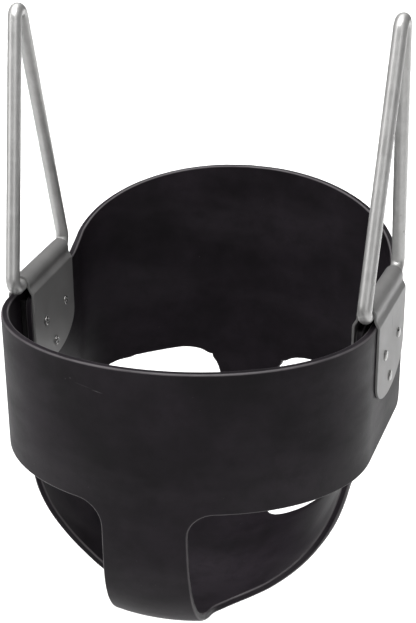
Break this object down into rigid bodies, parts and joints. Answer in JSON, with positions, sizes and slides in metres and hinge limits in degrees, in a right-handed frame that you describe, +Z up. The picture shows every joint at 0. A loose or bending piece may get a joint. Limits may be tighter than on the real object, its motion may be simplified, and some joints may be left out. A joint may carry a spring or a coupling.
{
  "type": "toddler bucket swing",
  "caption": "Moulded rubber full-bucket swing seat with leg and rear openings, hung from two steel rod triangles by folded, riveted hinge plates.",
  "frame": {"origin": "on the bottom of the bounding box, under its middle: the bucket's lowest point is at z = 0", "axes": "+X towards the right-hand hanger as seen from in front, -Y towards the front band, +Y towards the high back, +Z up"},
  "size_m": [0.319, 0.3308, 0.476],
  "materials": {
    "black_rubber": "satin moulded charcoal-black rubber",
    "pad_rubber": "matt black rubber",
    "plate_steel": "satin zinc-plated sheet",
    "rod_steel": "satin zinc-plated rod",
    "rivet_steel": "bright zinc-plated rivet"
  },
  "bodies": {
    "seat": {"bucket_moulding": "black_rubber", "hinge_plate_right": "plate_steel", "hinge_plate_left": "plate_steel", "spacer_pad_right": "pad_rubber", "spacer_pad_left": "pad_rubber", "rivet_right_1": "rivet_steel", "rivet_right_2": "rivet_steel", "rivet_right_3": "rivet_steel", "rivet_left_1": "rivet_steel", "rivet_left_2": "rivet_steel", "rivet_left_3": "rivet_steel"},
    "right_hanger": {"hanger_right": "rod_steel"},
    "left_hanger": {"hanger_left": "rod_steel"}
  },
  "joints": [
    {"name": "right_hanger_hinge", "type": "hinge", "parent": "seat", "child": "right_hanger", "pos_m": [0.145, 0.0098, 0.2575], "axis": [0.0698, 0.9976, 0], "range_deg": [-36, 100]},
    {"name": "left_hanger_hinge", "type": "hinge", "parent": "seat", "child": "left_hanger", "pos_m": [-0.145, 0.0098, 0.2575], "axis": [0.0698, -0.9976, 0], "range_deg": [-36, 100]}
  ]
}
